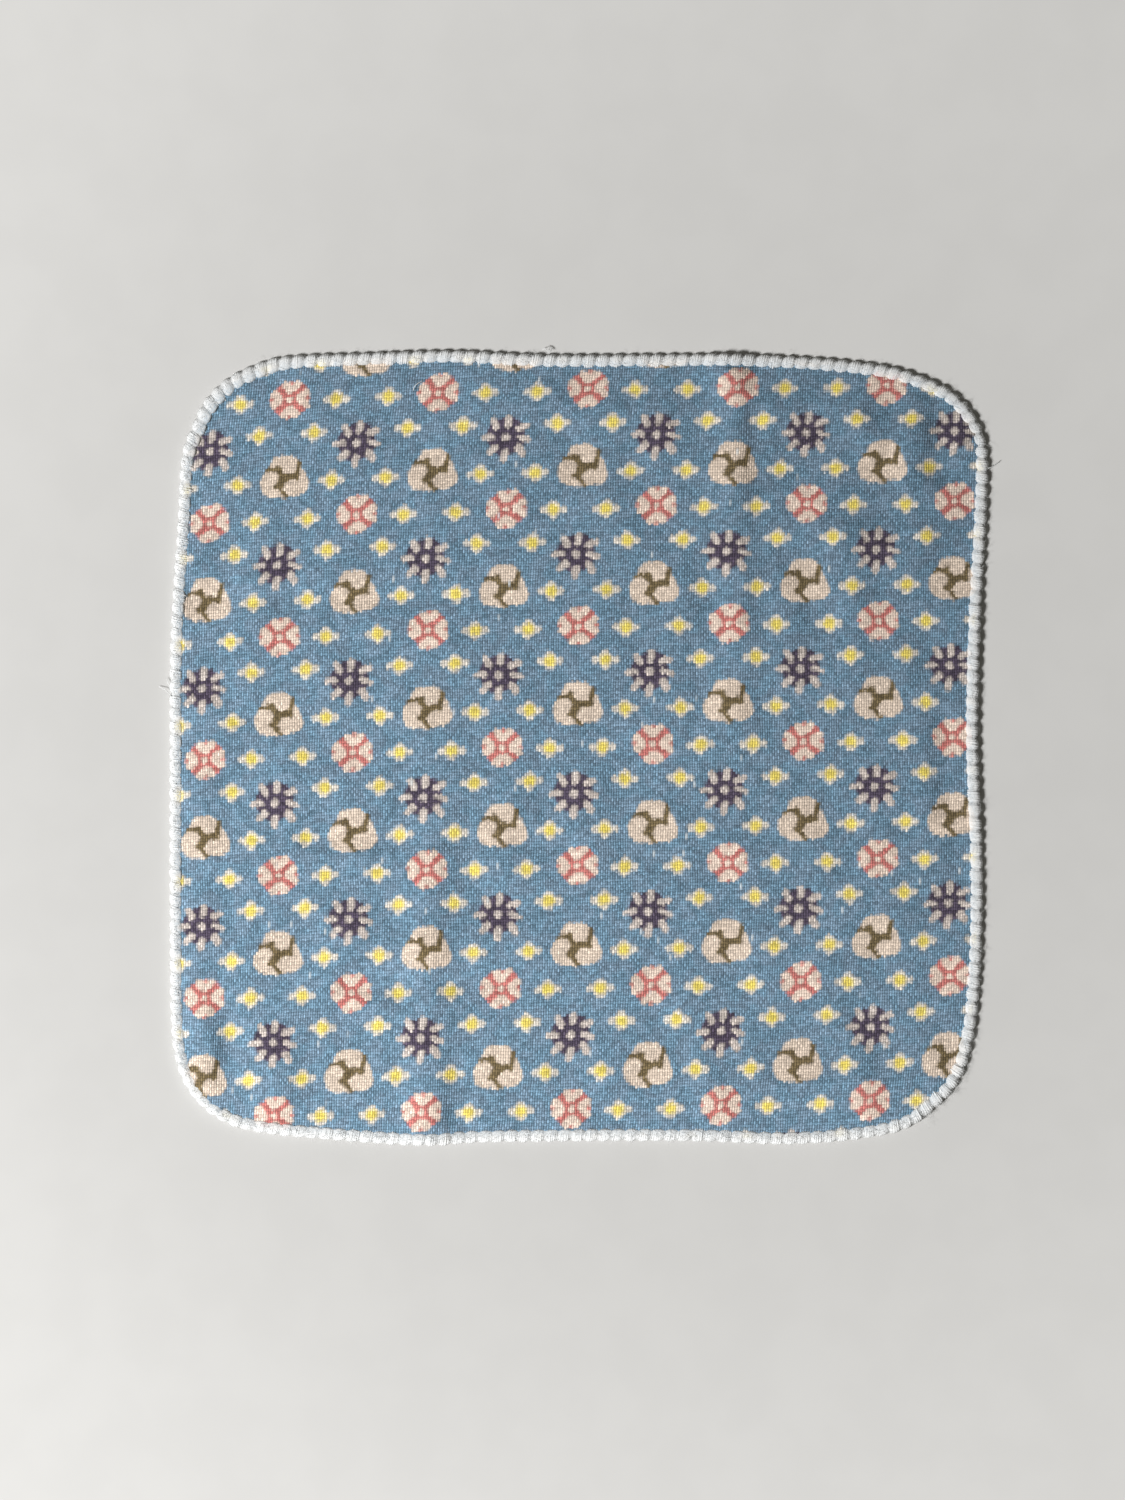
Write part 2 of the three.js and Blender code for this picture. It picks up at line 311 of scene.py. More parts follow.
def ripples(x, y):
    rng = np.random.default_rng(SEED + 2)
    total = np.zeros_like(x)
    for _ in range(RIPPLES["count"]):
        length = rng.uniform(RIPPLES["shortest"], RIPPLES["longest"])
        bearing, phase = rng.uniform(0, 2 * math.pi, 2)
        along = (x * math.cos(bearing) + y * math.sin(bearing)) * 2 * math.pi / length
        total += np.sin(along + phase) * length / RIPPLES["longest"]
    return total * RIPPLES["height"] / math.sqrt(RIPPLES["count"])


def smoothstep(low, high, value):
    t = np.clip((value - low) / (high - low), 0, 1)
    return t * t * (3 - 2 * t)


# Meshes

def new_mesh_object(name, vertices, faces):
    mesh = bpy.data.meshes.new(name)
    mesh.vertices.add(len(vertices))
    mesh.vertices.foreach_set("co", (np.asarray(vertices) * MM).ravel())
    faces = np.asarray(faces)
    size = faces.shape[1]
    mesh.loops.add(faces.size)
    mesh.loops.foreach_set("vertex_index", faces.ravel())
    mesh.polygons.add(len(faces))
    mesh.polygons.foreach_set("loop_start", np.arange(0, faces.size, size))
    mesh.polygons.foreach_set("loop_total", np.full(len(faces), size))
    mesh.update(calc_edges=True)
    mesh.validate()
    mesh.polygons.foreach_set("use_smooth", np.full(len(mesh.polygons), True))
    piece = bpy.data.objects.new(name, mesh)
    bpy.context.scene.collection.objects.link(piece)
    return piece


def cloth_grid():
    """A square grid pushed out along its rays until its border is the cloth's cut edge, and the outline."""
    cells = CLOTH["cells"]
    steps = np.linspace(-1, 1, cells + 1)
    a, b = (side.ravel() for side in np.meshgrid(steps, steps))
    places, inward, _ = on_outline(np.arange(0, PERIMETER, CUT_STEP))
    cut = places + inward * CLOTH["edge"]
    angles = np.arctan2(cut[:, 1], cut[:, 0])
    order = np.argsort(angles)
    reach = np.hypot(cut[:, 0], cut[:, 1])
    ray = np.arctan2(b, a)
    outer = np.interp(ray, angles[order], reach[order], period=2 * math.pi)
    size = np.hypot(a, b)
    ring = np.maximum(np.abs(a), np.abs(b))
    scale = outer * ring / np.maximum(size, TINY)
    return a * scale, b * scale, places


def distance_to(places, x, y):
    """How far each point is from the nearest of the places, worked out for a block of places at a time."""
    block_size = 64
    nearest = np.full(x.shape, np.inf)
    for start in range(0, len(places), block_size):
        block = places[start:start + block_size]
        away = (x[:, None] - block[None, :, 0]) ** 2 + (y[:, None] - block[None, :, 1]) ** 2
        nearest = np.minimum(nearest, away.min(axis=1))
    return np.sqrt(nearest)


def cloth_faces(cells):
    """The printed face, the underside and the rim that joins them, and how many faces the first has."""
    row = cells + 1
    count = row * row
    corner = (np.arange(cells)[:, None] * row + np.arange(cells)[None, :]).ravel()
    face = np.stack([corner, corner + 1, corner + row + 1, corner + row], axis=1)
    loop = np.arange(cells)
    border = np.concatenate([loop, cells + loop * row, count - 1 - loop, (cells - loop) * row])
    ahead = np.roll(border, -1)
    rim = np.stack([border + count, ahead + count, ahead, border], axis=1)
    return np.vstack([face, face[:, ::-1] + count, rim]), len(face)


def make_cloth():
    x, y, places = cloth_grid()
    inset = distance_to(places, x, y)
    full = smoothstep(CLOTH["squeezed_to"], CLOTH["full_from"], inset)
    base = lift(x, y)
    creased = np.maximum(base + rise(CREASES, x, y) + ripples(x, y), CLOTH["deepest"])
    under = np.maximum(creased, CLOTH["off_the_floor"])
    top = (1 - full) * (base + CLOTH["squeezed_top"]) + full * (creased + CLOTH["thickness"])
    bottom = (1 - full) * (base + CLOTH["squeezed_bottom"]) + full * under
    faces, face_count = cloth_faces(CLOTH["cells"])
    vertices = np.vstack([np.stack([x, y, top], axis=1), np.stack([x, y, bottom], axis=1)])
    piece = new_mesh_object("handkerchief_cloth", vertices, faces)
    layout_for_bake(piece, face_count)
    sides = np.zeros(len(faces), int)
    sides[face_count:] = 1
    piece.data.polygons.foreach_set("material_index", sides)
    return piece


FACE_SHARE = 0.75  # of the bake's width, for the printed face; the underside is smaller, beside it
BAKE_MARGIN = 0.005


def layout_for_bake(piece, face_count):
    """Lays the printed face and the underside side by side, so that neither is cut up when it is baked."""
    mesh = piece.data
    corners = np.empty(len(mesh.loops), int)
    mesh.loops.foreach_get("vertex_index", corners)
    places = np.empty(len(mesh.vertices) * 3)
    mesh.vertices.foreach_get("co", places)
    places = places.reshape(-1, 3)[corners, :2]
    low, high = places.min(axis=0), places.max(axis=0)
    share = (places - low) / (high - low).max()
    printed = np.arange(len(corners)) < face_count * 4
    scale = np.where(printed, FACE_SHARE, 1 - FACE_SHARE)[:, None] - 2 * BAKE_MARGIN
    start = np.where(printed, 0, FACE_SHARE)[:, None] * np.array([[1, 0]]) + BAKE_MARGIN
    layer = mesh.uv_layers.new(name="OFBake")
    layer.data.foreach_set("uv", (share * scale + start).ravel())


def tubes(paths, radii, sides):
    """Closed round tubes along many paths at once: paths is strands x steps x 3, radii strands x steps."""
    strands, steps, _ = paths.shape
    forward = np.gradient(paths, axis=1)
    forward /= np.linalg.norm(forward, axis=2, keepdims=True)
    across = np.cross(forward, np.cross(forward[:, :1], forward[:, -1:]))
    weak = np.linalg.norm(across, axis=2, keepdims=True) < TINY
    across = np.where(weak, np.cross(forward, [[[0, 0, 1.0]]]), across)
    across /= np.linalg.norm(across, axis=2, keepdims=True)
    third = np.cross(forward, across)
    turn = np.arange(sides) / sides * 2 * math.pi
    ring = (np.cos(turn)[None, None, :, None] * across[:, :, None, :]
            + np.sin(turn)[None, None, :, None] * third[:, :, None, :])
    skin = paths[:, :, None, :] + ring * radii[:, :, None, None]
    per_strand = steps * sides + 2
    outwards = np.stack([-forward[:, 0], forward[:, -1]], axis=1)
    ends = paths[:, [0, -1], :] + outwards * radii[:, [0, -1], None] / 2
    vertices = np.concatenate([skin.reshape(strands, -1, 3), ends], axis=1)
    step, side = (a.ravel() for a in np.meshgrid(np.arange(steps - 1), np.arange(sides), indexing="ij"))
    here, onward = step * sides + side, step * sides + (side + 1) % sides
    walls = np.stack([here, onward, onward + sides, here + sides], axis=1)
    walls = np.vstack([walls[:, [0, 1, 2]], walls[:, [0, 2, 3]]])
    rim = np.arange(sides)
    last = (steps - 1) * sides
    first_cap = np.stack([np.full(sides, steps * sides), (rim + 1) % sides, rim], axis=1)
    last_cap = np.stack([np.full(sides, steps * sides + 1), last + rim, last + (rim + 1) % sides], axis=1)
    faces = np.vstack([walls, first_cap, last_cap])
    faces = (faces[None] + (np.arange(strands) * per_strand)[:, None, None]).reshape(-1, 3)
    return vertices.reshape(-1, 3), faces, per_strand


def point_attribute(piece, name, values):
    piece.data.attributes.new(name, "FLOAT", "POINT").data.foreach_set("value", values)


def along_tubes(values):
    """One value for each step of each strand, given to all the points of its tube."""
    return np.concatenate([np.repeat(values, EDGING["sides"], axis=1), values[:, [0, -1]]], axis=1).ravel()


def looseness(place):
    """1 where the stitches are loosest, 0 where they are tight."""
    away = np.hypot(place[..., 0] - LOOSE["x"], place[..., 1] - LOOSE["y"])
    return 1 - smoothstep(0, LOOSE["half"], away)


def pulled_in(place):
    """How much further in the stitches are pulled at a place."""
    total = 0
    for pull in PULLED:
        away = np.hypot(place[..., 0] - pull["x"], place[..., 1] - pull["y"])
        total = total + pull["by"] * (1 - smoothstep(0, pull["half"], away))
    return total


def eased_side(inwards):
    """1 along the left and near sides, 0 along the others."""
    return np.clip(inwards[..., 0] + inwards[..., 1], 0, 1)


def zone(name, way):
    """0 before a zone of a strand's way, 1 after it, and a smooth step in it."""
    return smoothstep(*ZONES[name], way)


def hump(place, way):
    """1 at the middle of a place on a strand's way, falling off to both sides."""
    return np.exp(-((way - place["middle"]) / place["spread"]) ** 2)


def stitch_surface(along, way, across):
    """Where the stitches lie, along the edge, on the way over it, and from -1 to 1 across a bundle."""
    place, inwards, _ = on_outline(along)
    fall, gap = across ** 2, across ** 4
    eased, loose, outside = eased_side(inwards), looseness(place), hump(OUTSIDE, way)
    spread = np.linspace(0, 1, len(STRAND_COURSE))
    inward, height = (np.interp(way, spread, STRAND_COURSE[:, axis]) for axis in (0, 1))
    inward = inward + outside * EDGING["scallop"] * fall - EDGING["wider"] * inwards[..., 1] ** 2
    inward = inward + zone("looser", way) * (loose * LOOSE["reach"] + EDGING["eased_reach"] * eased)
    inward = inward + pulled_in(place) - zone("inner_end", way) * EDGING["rounded_end"] * fall
    height = height - zone("top", way) * EDGING["dip"] * gap * (1 - EDGING["eased_dip"] * eased)
    height = height - zone("lower", way) * EDGING["eased"] * eased
    height = np.maximum(height - outside * loose * LOOSE["sag"], EDGING["lowest"])
    return place, inwards, inward, height


def stitch_light_and_shade(inwards, way, across):
    """Painted shade towards the gap between bundles, deepest in the pinhole at its outer end, and painted
    light on top along the left and near sides.
    """
    gap = across ** 4
    eased = eased_side(inwards)
    painted_light = PAINTED_LIGHT_SHADE_AND_TONES["painted_light"] * eased * zone("painted_light", way)
    painted_gap_shade = (PAINTED_LIGHT_SHADE_AND_TONES["gap"] - PAINTED_LIGHT_SHADE_AND_TONES["eased_gap_shade"] * eased) * gap * zone("gap", way)
    return 1 + painted_light - painted_gap_shade - PAINTED_LIGHT_SHADE_AND_TONES["pinhole_shade"] * gap * hump(PINHOLE_SHADE, way)


def see_through(inwards, way):
    """How much of the print shows through the stitches: more on their inner half, and most on the left."""
    left = np.clip(inwards[..., 0], 0, 1)
    return zone("see_through", way) * (THROUGH["all_round"] + THROUGH["left"] * left)


def edging_core():
    """A closed ring of packed thread that fills the gaps between the strands."""
    count = int(PERIMETER / EDGING["core_step"])
    size = len(STRAND_COURSE)
    along = (np.arange(count) / count * PERIMETER)[:, None] * np.ones((1, size))
    way = np.linspace(0, 1, size)[None, :] * np.ones((count, 1))
    turned = (along - (way - OUTSIDE["middle"]) * EDGING["slant"]) / (PERIMETER / EDGING["bundles"])
    across = (turned - np.floor(turned)) * 2 - 1
    place, inwards, inward, height = stitch_surface(along, way, across)
    run_in, run_up = np.gradient(STRAND_COURSE, axis=0).T
    length = np.hypot(run_in, run_up)
    inward = inward - EDGING["core"] * run_up / length
    height = height + EDGING["core"] * run_in / length
    points = place + inwards * inward[..., None]
    height = height + lift(place[..., 0], place[..., 1])
    vertices = np.concatenate([points, height[..., None]], axis=2).reshape(-1, 3)
    station, side = (a.ravel() for a in np.meshgrid(np.arange(count), np.arange(size), indexing="ij"))
    here, onward = station * size + side, station * size + (side + 1) % size
    step = np.where(station == count - 1, -(count - 1) * size, size)
    walls = np.vstack([np.stack([here, here + step, onward + step], axis=1),
                       np.stack([here, onward + step, onward], axis=1)])
    # the core takes the stitches' painted light and shade, with a little more painted shade under the
    # strands
    light_shade_and_tones = stitch_light_and_shade(inwards, way, across).ravel() - PAINTED_LIGHT_SHADE_AND_TONES["core"]
    return vertices, walls, light_shade_and_tones, see_through(inwards, way).ravel()


def make_edging():
    rng = np.random.default_rng(SEED)
    bundles, strands, steps = EDGING["bundles"], EDGING["strands"], EDGING["steps"]
    pitch = PERIMETER / bundles
    middle = (np.arange(bundles) + 0.5) * pitch
    across = (np.arange(strands) + 0.5) / strands * 2 - 1
    middle, across = (a.ravel()[:, None] for a in np.meshgrid(middle, across, indexing="ij"))
    count = len(middle)
    way = np.linspace(0, 1, steps)[None, :] * np.ones((count, 1))
    inner_half = zone("inner_half", way)

    def uneven(name, each=1):
        """Random offsets, one for each strand or each of its steps."""
        return rng.normal(0, UNEVEN[name], (count, each))

    bundle_jitter = np.repeat(rng.normal(0, 1, bundles), strands)[:, None]
    along = (middle + across * pitch * (0.5 - EDGING["narrower_end"] * inner_half)
             + (way - OUTSIDE["middle"]) * EDGING["slant"] + bundle_jitter * UNEVEN["bundle_along"]
             + uneven("strand_along") + uneven("step_along", steps))
    place, inwards, inward, height = stitch_surface(along, way, across)
    loose = looseness(place)
    inward = inward + hump(OUTSIDE, way) * uneven("strand_outside")
    inward = inward + inner_half * (uneven("strand_inwards") * (1 + loose)
                                    + bundle_jitter * UNEVEN["bundle_inwards"])
    height = height + zone("top", way) * uneven("strand_height")
    height = np.maximum(height + uneven("step_height", steps), EDGING["lowest"])
    points = place + inwards * inward[..., None]
    base = lift(place[..., 0], place[..., 1])
    paths = np.concatenate([points, (base + height)[..., None]], axis=2)
    thickness = rng.uniform(*EDGING["thickness"], (count, 1)) * (1 - LOOSE["thinner"] * loose)
    radii = EDGING["radius"] * thickness * (1 - EDGING["thinner_end"] * inner_half)
    vertices, faces, _ = tubes(paths, radii, EDGING["sides"])
    core, core_faces, core_light_and_shade, core_through = edging_core()
    piece = new_mesh_object("edging_threads", np.vstack([vertices, core]),
                            np.vstack([faces, core_faces + len(vertices)]))
    # painted light and shade on the stitches, less a random tone for each strand; the tone attribute carries
    # both
    light_shade_and_tones = stitch_light_and_shade(inwards, way, across) - rng.uniform(0, PAINTED_LIGHT_SHADE_AND_TONES["strand"], (count, 1))
    through = see_through(inwards, way) * rng.uniform(*THROUGH["strands"], (count, 1))
    point_attribute(piece, "tone", np.concatenate([along_tubes(light_shade_and_tones), core_light_and_shade]))
    point_attribute(piece, "through", np.concatenate([along_tubes(through), core_through]))
    return piece


def make_strays():
    share = np.linspace(0, 1, STRAY["steps"])
    paths = []
    for points in STRAYS:
        points = np.array(points)
        spread = np.linspace(0, 1, len(points))
        bent = np.stack([np.interp(share, spread, points[:, axis]) for axis in range(3)], axis=1)
        bent[1:-1] = (bent[:-2] + bent[1:-1] * 2 + bent[2:]) / 4
        paths.append(bent)
    radii = STRAY["radius"] * (1 - STRAY["taper"] * share ** 2)[None, :] * np.ones((len(STRAYS), 1))
    vertices, faces, _ = tubes(np.array(paths), radii, STRAY["sides"])
    piece = new_mesh_object("stray_threads", vertices, faces)
    point_attribute(piece, "tone", np.ones(len(vertices)))
    return piece


def make_fibres():
    rng = np.random.default_rng(SEED + 1)
    count, crown, arch = FIBRES["count"], FIBRES["crown"], FIBRES["arch"]
    along = rng.uniform(0, PERIMETER, count)
    start_in = rng.uniform(*FIBRES["rooted"], count)
    length = FIBRES["shortest"] + rng.gamma(*FIBRES["longer_by"], count)
    bearing = rng.uniform(0, 2 * math.pi, count)
    outwards = rng.uniform(*FIBRES["outwards"], count)
    place, inwards, ahead = on_outline(along)
    stitches = crown["height"] - crown["fall"] * ((start_in - crown["inset"]) / crown["inset"]) ** 2
    base = lift(place[:, 0], place[:, 1]) + stitches - FIBRES["sunk"]
    direction = -inwards * outwards[:, None] + ahead * np.cos(bearing)[:, None]
    direction /= np.linalg.norm(direction, axis=1, keepdims=True) + TINY
    side = np.stack([-direction[:, 1], direction[:, 0]], axis=1)
    t = np.linspace(0, 1, FIBRES["steps"])[None, :]
    curl = rng.normal(0, FIBRES["curl"], (count, 1)) * length[:, None]
    flat = (place + inwards * start_in[:, None])[:, None, :]
    flat = flat + direction[:, None, :] * (t * length[:, None])[..., None]
    flat = flat + side[:, None, :] * (t ** 2 * curl)[..., None]
    arched = arch["rise"] * np.sin(t * arch["turn"]) - arch["droop"] * t
    height = base[:, None] + arched * np.minimum(length[:, None], arch["longest"])
    paths = np.concatenate([flat, np.maximum(height, FIBRES["lowest"])[..., None]], axis=2)
    radii = FIBRES["radius"] * (1 - FIBRES["taper"] * t) * np.ones((count, 1))
    vertices, faces, per_strand = tubes(paths, radii, FIBRES["sides"])
    piece = new_mesh_object("edging_fibres", vertices, faces)
    point_attribute(piece, "tone", np.repeat(rng.uniform(*FIBRES["tone"], count), per_strand))
    return piece


# Shader arithmetic

class Term:
    """A value in a shader. Arithmetic on it adds Math nodes to its tree."""

    def __init__(self, tree, socket):
        self.tree = tree
        self.socket = socket

    def math(self, operation, *others):
        node = self.tree.nodes.new("ShaderNodeMath")
        node.operation = operation
        for slot, value in zip(node.inputs, (self, *others)):
            feed(self.tree, slot, value)
        return Term(self.tree, node.outputs[0])

    def vector_math(self, operation, *others):
        node = self.tree.nodes.new("ShaderNodeVectorMath")
        node.operation = operation
        for slot, value in zip(node.inputs, (self, *others)):
            feed(self.tree, slot, value)
        return Term(self.tree, node.outputs["Value" if operation == "LENGTH" else 0])

    def __add__(self, other):
        return self.math("ADD", other)

    def __sub__(self, other):
        return self.math("SUBTRACT", other)

    def __mul__(self, other):
        return self.math("MULTIPLY", other)

    def __truediv__(self, other):
        return self.math("DIVIDE", other)

    def scaled(self, factor, offset=0.0):
        """The value times a factor, plus an offset."""
        return self.math("MULTIPLY_ADD", factor, offset)

    def about_zero(self, width):
        """A value from 0 to 1 as an offset of this width in all, half of it below 0."""
        return self.scaled(width, -width / 2)

    def less(self, other):
        """The smaller of the two."""
        return self.math("MINIMUM", other)

    def more(self, other):
        """The larger of the two."""
        return self.math("MAXIMUM", other)

    def ramp(self, low, high, to_low=0.0, to_high=1.0):
        """A smooth step from to_low to to_high while the value goes from low to high."""
        node = self.tree.nodes.new("ShaderNodeMapRange")
        node.interpolation_type = "SMOOTHSTEP"
        for slot, value in zip(node.inputs, (self, low, high, to_low, to_high)):
            feed(self.tree, slot, value)
        return Term(self.tree, node.outputs[0])


def feed(tree, slot, value):
    if isinstance(value, Term):
        tree.links.new(value.socket, slot)
    else:
        slot.default_value = value


def vector(tree, x, y, z=0.0):
    node = tree.nodes.new("ShaderNodeCombineXYZ")
    for slot, value in zip(node.inputs, (x, y, z)):
        feed(tree, slot, value)
    return Term(tree, node.outputs[0])


def noise(tree, place, scale, detail=0.0, dimensions="2D"):
    """Smooth noise from about 0 to 1, its lumps about 1 / scale across."""
    node = tree.nodes.new("ShaderNodeTexNoise")
    node.noise_dimensions = dimensions
    node.inputs["Scale"].default_value = scale
    node.inputs["Detail"].default_value = detail
    feed(tree, node.inputs["Vector"], place)
    return Term(tree, node.outputs[0])


def chance(tree, place):
    """An even random number for each whole place."""
    node = tree.nodes.new("ShaderNodeTexWhiteNoise")
    node.noise_dimensions = "2D"
    feed(tree, node.inputs["Vector"], place)
    return Term(tree, node.outputs["Value"])


def mix(tree, share, first, second, blend="MIX"):
    """first where share is 0, second where it is 1."""
    node = tree.nodes.new("ShaderNodeMix")
    node.data_type = "RGBA"
    node.blend_type = blend
    slots = {slot.identifier: slot for slot in node.inputs}
    feed(tree, slots["Factor_Float"], share)
    feed(tree, slots["A_Color"], first)
    feed(tree, slots["B_Color"], second)
    return Term(tree, next(out for out in node.outputs if out.identifier == "Result_Color"))


def dimmed(tree, colour, shade):
    """The colour times a grey shade."""
    return mix(tree, 1.0, colour, vector(tree, shade, shade, shade), blend="MULTIPLY")


def paint(red, green, blue):
    """A colour given in the usual 0 to 255, as light."""
    parts = [value / 255 for value in (red, green, blue)]
    return (*[v / 12.92 if v <= 0.04045 else ((v + 0.055) / 1.055) ** 2.4 for v in parts], 1)


# The print

PAINTS = {
    "cream": paint(240, 218, 202),
    "sand": paint(231, 212, 194),
    "pale": paint(213, 201, 193),
    "coral": paint(207, 125, 119),
    "plum": paint(86, 76, 94),
    "olive": paint(122, 106, 76),
    "yellow": paint(246, 224, 112),
    "shell": paint(227, 219, 207),
}
GROUNDS = paint(117, 150, 173), paint(127, 153, 175)
BACK_VEIL = paint(176, 190, 198)  # over the print, on the underside
SLUB = paint(215, 220, 222)
THREAD = paint(231, 232, 232)
PAPER = paint(206, 205, 203), paint(208, 207, 205)

REPEAT = {"width": 45.5, "row": 36.4}  # each row is half a repeat to the side of the last
FIRST_ROSETTE = (-0.3, 110.0)

# How far the print drifts from true over the cloth, in millimetres at 100 mm from the middle
DRIFT = {
    "width": -1.0, "lean": -0.2, "across_bow": -0.3, "across_bow_y": -0.5,
    "across_fan": 0.7, "across_fan_y": 0.6, "across_twist": -1.8,
    "rise": -2.2, "height": -0.4, "up_bow": 0.7, "up_bow_y": 0.8,
    "up_fan": -0.7, "up_fan_x": 0.8, "up_fan_y": 0.2,
}

# The motifs, charted one by one. A motif is painted in coats: a paint, how soft its edge is, and a list of
# dabs with round ends. A dab is its middle x and y, half length, half width, and its turn in degrees. The
# rosette is the same all round, so its chart holds an eighth of it, and the cross's chart a quarter.

ROSETTE = {  # four petals, the same on both sides of their middle
    "at": (0.05, 0.05), "width": 1.05,  # how much wider than high
    "coats": [
        ("coral", 0.5, [(0, 0, 5.6, 5.6, 0)]),
        ("cream", 0.45, [(3.85, 0, 1.95, 1.95, 0), (4.1, 1.2, 1.9, 1.2, 45), (0, 0, 0.95, 0.95, 0)]),
        ("coral", 0.6, [(5.3, 0, 0.55, 0.45, 0)]),
    ],
}

ASTER = {  # eight uneven petals round a middle; charted whole
    "at": (21.3, -14.0),
    "coats": [
        ("plum", 0.6, [(0.3, -0.1, 5.95, 5.95, 0)]),
        ("pale", 0.5, [(0.4, -0.3, 1.25, 1.25, 0), (0.7, 4.4, 2.05, 1.05, 90), (5.1, 2.75, 2.15, 1.0, 24),
                       (5.6, -0.8, 2.1, 0.9, -12), (4.8, -4.7, 2.2, 1.2, -50), (0.3, -5.9, 2.2, 1.15, 90),
                       (-3.7, -4.2, 2.2, 1.1, 48), (-5.1, -0.4, 2.1, 0.9, 5), (-3.3, 3.6, 2.1, 1.05, -55)]),
    ],
}

WHIRL = {  # three lobes, and three arms that whirl round between them; charted whole
    "at": (0, -24.06),
    "coats": [
        ("sand", 0.5, [(-0.4, 2.9, 4.8, 4.2, 0), (3.1, -1.1, 4.8, 4.1, 110), (-3.4, -1.8, 4.25, 4.25, 0),
                       (0, -2.6, 3.5, 3.5, 0)]),
        ("olive", 0.5, [(-0.85, 1.4, 2.9, 1.1, 129), (-2.2, 2.8, 1.2, 1.2, 0), (-4.0, 2.45, 2.3, 0.85, 12),
                        (1.9, 0.15, 2.7, 1.1, 0), (3.6, 0, 1.15, 1.15, 0), (4.0, 2.5, 2.7, 0.8, 86),
                        (-0.85, -1.0, 2.95, 1.4, 49), (-2.4, -2.4, 1.15, 1.15, 0),
                        (-0.3, -4.35, 2.5, 0.7, -46)]),
        ("sand", 0.5, [(1.05, 3.6, 2.2, 2.2, 0), (-4.4, -0.3, 2.3, 2.3, 0), (2.4, -3.2, 2.35, 2.35, 0)]),
    ],
}

CROSS = {  # four points, the same on both sides of both axes
    "coats": [
        ("shell", 0.55, [(0, 0, 4.15, 1.05, 0), (0, 0, 2.95, 1.5, 90), (0, 0, 2.4, 2.4, 0)]),
        ("yellow", 0.8, [(0, 0, 1.75, 1.6, 0)]),
    ],
}
# Crosses come in pairs, one to each side of a place: the place, and how far they stand from it
CROSS_PAIRS = [((-0.5, -0.6), 14.8), ((-0.2, -10.45), 8.4), ((-0.05, -25.5), 14.4)]

# The hand-drawn lines waver by this much, in waves of so many radians to a millimetre, and their start
WAVER = 0.2
WAVES = {"side": (0.8, 1.0), "up": (0.75, 2.2)}


def whole(term):
    return term.math("ROUND")


def nearest_copy(u, v, at):
    """The place measured from the nearest copy of a motif in the half-drop repeat."""
    down = v - at[1]
    row = whole(down / REPEAT["row"])
    odd = row.math("MODULO", 2.0).math("ABSOLUTE")
    side = u - at[0] - odd * (REPEAT["width"] / 2)
    return side - whole(side / REPEAT["width"]) * REPEAT["width"], down - row * REPEAT["row"]


def dab_distance(tree, place, dab):
    """How far a place is outside a dab, in millimetres."""
    x, y, length, width, turn = dab
    node = tree.nodes.new("ShaderNodeMapping")
    node.vector_type = "TEXTURE"
    feed(tree, node.inputs["Vector"], place)
    node.inputs["Location"].default_value = (x, y, 0)
    node.inputs["Rotation"].default_value = (0, 0, math.radians(turn))
    offset = Term(tree, node.outputs[0])
    if length > width:
        offset = offset.vector_math("ABSOLUTE").vector_math("SUBTRACT", (length - width, 0, 0))
        offset = offset.vector_math("MAXIMUM", (0, 0, 0))
    return offset.vector_math("LENGTH") - width


def coat_mask(tree, place, softness, dabs):
    distance = dab_distance(tree, place, dabs[0])
    for dab in dabs[1:]:
        distance = distance.less(dab_distance(tree, place, dab))
    return distance.ramp(-softness, softness, 1.0, 0.0)


def folded_square(tree, side, up):
    """Folds a place into one eighth of a square: x outwards, y to either side."""
    side, up = side.math("ABSOLUTE"), up.math("ABSOLUTE")
    return vector(tree, side.more(up), side.less(up))


def motif_places(tree, u, v):
    """Each motif with the place measured in its own chart."""
    def wavered(motif):
        side, up = nearest_copy(u, v, motif["at"])
        side = side + up.scaled(*WAVES["side"]).math("SINE") * WAVER
        up = up + side.scaled(*WAVES["up"]).math("SINE") * WAVER
        return side, up

    side, up = wavered(ROSETTE)
    yield ROSETTE, folded_square(tree, side / ROSETTE["width"], up)
    yield ASTER, vector(tree, *wavered(ASTER))
    yield WHIRL, vector(tree, *wavered(WHIRL))
    for at, apart in CROSS_PAIRS:
        side, up = nearest_copy(u, v, at)
        yield CROSS, vector(tree, (side.math("ABSOLUTE") - apart).math("ABSOLUTE"), up.math("ABSOLUTE"))


def print_colour(tree, u, v, ground):
    """The ground with every motif painted over it."""
    colour = ground
    for motif, place in motif_places(tree, u, v):
        for name, softness, dabs in motif["coats"]:
            colour = mix(tree, coat_mask(tree, place, softness, dabs), colour, PAINTS[name])
    return colour


def drifted(x, y):
    """Where a place on the cloth lies in the print, whose rows and columns have drifted with the weave."""
    far_x, far_y = x / 100, y / 100
    x2, y2 = far_x * far_x, far_y * far_y
    u = (x * (1 + DRIFT["width"] / 100) + far_y * DRIFT["lean"] + x2 * DRIFT["across_bow"]
         + y2 * DRIFT["across_bow_y"] + far_x * x2 * DRIFT["across_fan"] + far_x * y2 * DRIFT["across_fan_y"]
         + far_y * y2 * DRIFT["across_twist"])
    v = (y * (1 + DRIFT["height"] / 100) + far_x * DRIFT["rise"] + x2 * DRIFT["up_bow"]
         + y2 * DRIFT["up_bow_y"] + far_x * x2 * DRIFT["up_fan"] + far_y * x2 * DRIFT["up_fan_x"]
         + far_x * y2 * DRIFT["up_fan_y"])
    return u, v


# The weave

